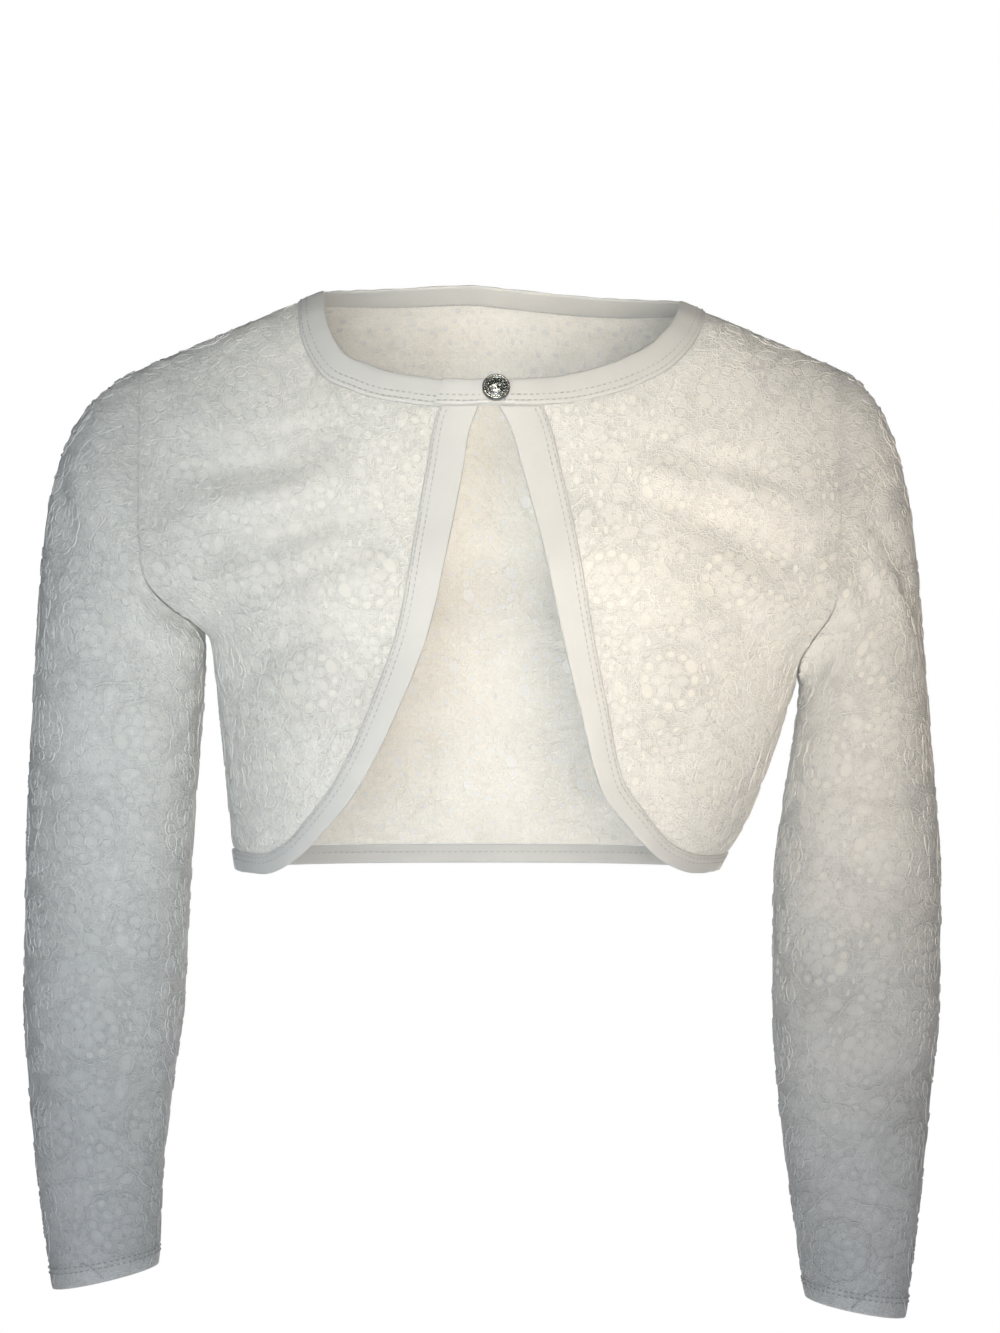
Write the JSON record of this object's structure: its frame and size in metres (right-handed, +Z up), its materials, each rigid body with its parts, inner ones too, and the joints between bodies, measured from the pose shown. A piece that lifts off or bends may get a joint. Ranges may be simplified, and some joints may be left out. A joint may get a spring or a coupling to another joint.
{
  "type": "lace bolero shrug",
  "caption": "Child's long-sleeved lace bolero shrug in worn form, plain bound neck and curved front edges, closed at the neck by one metal shank button",
  "frame": {"origin": "midway between the neck points of the shoulders, where the wearer holds the garment up", "axes": "+Z up, +X to the wearer's left, -Y to the wearer's front"},
  "size_m": [0.421, 0.1611, 0.4785],
  "materials": {
    "lace": "ivory stretch lace with a soft sheen",
    "jersey": "smooth ivory jersey binding",
    "button_metal": "worn nickel"
  },
  "bodies": {
    "root": {"front_right": "lace", "front_left": "lace", "back": "lace", "sleeve_right_front": "lace", "sleeve_right_back": "lace", "sleeve_left_front": "lace", "sleeve_left_back": "lace", "neck_binding": "jersey", "band_front_right": "jersey", "band_front_left": "jersey", "band_back": "jersey", "button": "button_metal"}
  },
  "joints": []
}
